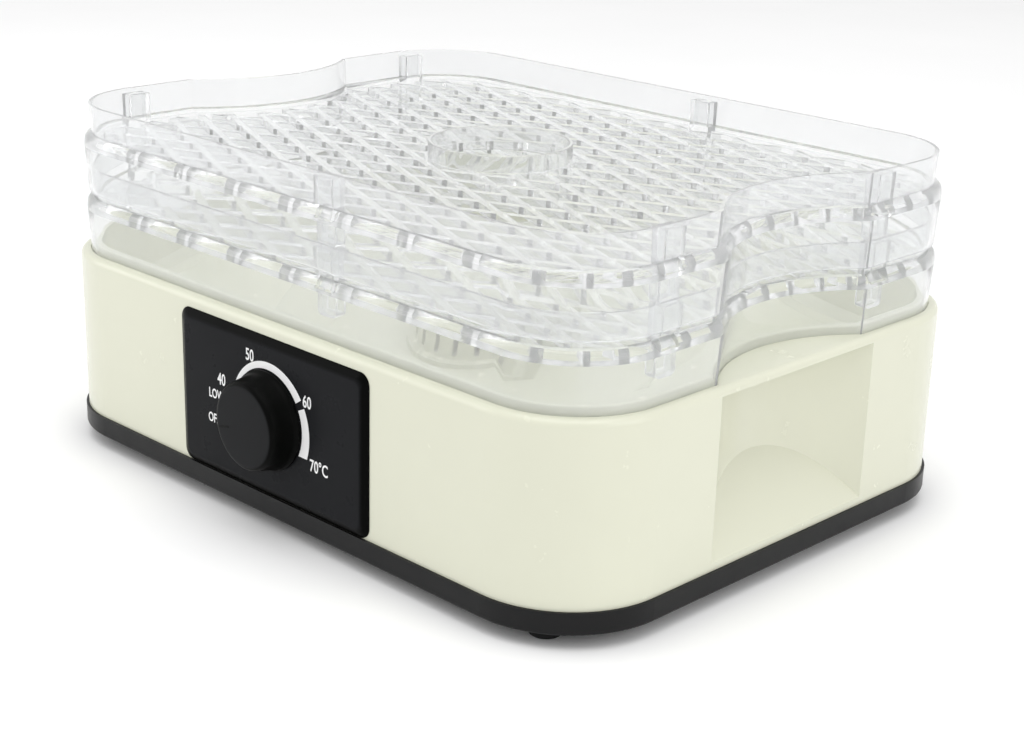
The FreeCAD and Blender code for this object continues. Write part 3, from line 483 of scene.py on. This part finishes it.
rounded = [clear_tray(which) for which in ("lower", "upper")]
rounded.append(show("dial_panel", lofted("panel", [panel_loop(*step) for step in PANEL_STEPS[::-1]]),
                    "panel_black", "base", ["control_panel"]))
rounded.append(show("dial_knob", lofted("knob", [knob_loop(*step) for step in KNOB_PROFILE]),
                    "knob_black", "knob", ["control_knob"]))
show("dial_pointer", pointer_mesh(), "pointer_dark", "knob", ["knob_pointer"])
for index, (inner, outer) in enumerate(SCALE_ARCS):
    show("dial_arc_%d" % index, scale_arc(inner, outer), "print_white", "base",
         ["panel_scale"] if index == 0 else ())
for index, (words, x, z, size) in enumerate(LABELS):
    show("dial_label_%d" % index, label_mesh(words, x, z, size), "print_white", "base")


# ---------------------------------------------------------------- stage, lights, camera
FLOOR_HALF = 6.0             # m
WORLD_LIGHT = 0.84
LIGHT_BOUNCES = 20           # enough for light to leave the stacked clear trays
# Name, place and target in m, side in m, power in W.
LIGHTS = (("key_top", (0.2, -0.2, 1.6), (0, 0, 0.05), 1.6, 12.0),
          ("side_left", (-1.3, -1.1, 0.7), (0, 0, 0.08), 1.0, 5.0),
          ("side_right", (1.5, 0.1, 0.7), (0, 0, 0.08), 1.0, 4.0))
CAMERA_AT = (0.55627, -0.55865, 0.31603)     # m, with Y from the housing's middle
CAMERA_TURN = (-44.313, 19.449, 1.595)       # degrees to the right, down, and round the line of sight
CAMERA_LENS = 65.609                         # mm, for the sensor's width
SENSOR_WIDTH = 36.0


def stage_floor():
    mesh = bpy.data.meshes.new("floor")
    r = FLOOR_HALF
    mesh.from_pydata([(-r, -r, 0), (r, -r, 0), (r, r, 0), (-r, r, 0)], [], [(0, 1, 2, 3)])
    floor = linked("floor", mesh)
    mat, tree, bsdf, _ = new_material("floor_white")
    at = object_coords(tree)
    tree.links.new(ramp(tree, noise(tree, at, 3.0), ((0.3, (0.93, 0.93, 0.93)), (0.7, (0.96, 0.96, 0.96)))),
                   bsdf.inputs["Base Color"])
    bsdf.inputs["Roughness"].default_value = 0.85
    floor.data.materials.append(mat)


def area_light(name, place, target, size, power):
    data = bpy.data.lights.new(name, "AREA")
    data.energy = power
    data.size = size
    light = linked(name, data)
    light.location = place
    light.rotation_mode = "QUATERNION"
    light.rotation_quaternion = (Vector(target) - Vector(place)).to_track_quat("-Z", "Y")


def studio():
    world = bpy.data.worlds.new("studio")
    world.use_nodes = True
    background = world.node_tree.nodes["Background"]
    background.inputs["Color"].default_value = (1.0, 1.0, 1.0, 1.0)
    background.inputs["Strength"].default_value = WORLD_LIGHT
    scene = bpy.context.scene
    scene.world = world
    scene.view_settings.view_transform = "Standard"
    scene.cycles.max_bounces = LIGHT_BOUNCES
    scene.cycles.transmission_bounces = LIGHT_BOUNCES
    for light in LIGHTS:
        area_light(*light)


def photo_camera():
    """The camera that fits the photo's outlines."""
    data = bpy.data.cameras.new("photo_camera")
    data.sensor_width = SENSOR_WIDTH
    data.lens = CAMERA_LENS
    data.clip_start = 0.05
    data.clip_end = 50.0
    camera = linked("photo_camera", data)
    yaw, pitch, roll = (math.radians(v) for v in CAMERA_TURN)
    look = Vector((math.sin(yaw) * math.cos(pitch), math.cos(yaw) * math.cos(pitch), -math.sin(pitch)))
    level = Vector((math.cos(yaw), -math.sin(yaw), 0.0))
    above = level.cross(look)
    right = math.cos(roll) * level + math.sin(roll) * above
    up = -math.sin(roll) * level + math.cos(roll) * above
    x, y, z = CAMERA_AT
    camera.matrix_world = Matrix(((right.x, up.x, -look.x, x), (right.y, up.y, -look.y, MID_Y + y),
                                  (right.z, up.z, -look.z, z), (0, 0, 0, 1)))
    bpy.context.scene.camera = camera


stage_floor()
studio()
photo_camera()

for entry in frame["record"]["subparts"]:
    smooth(NODES[entry["node"]])
for piece in rounded:
    smooth(piece)
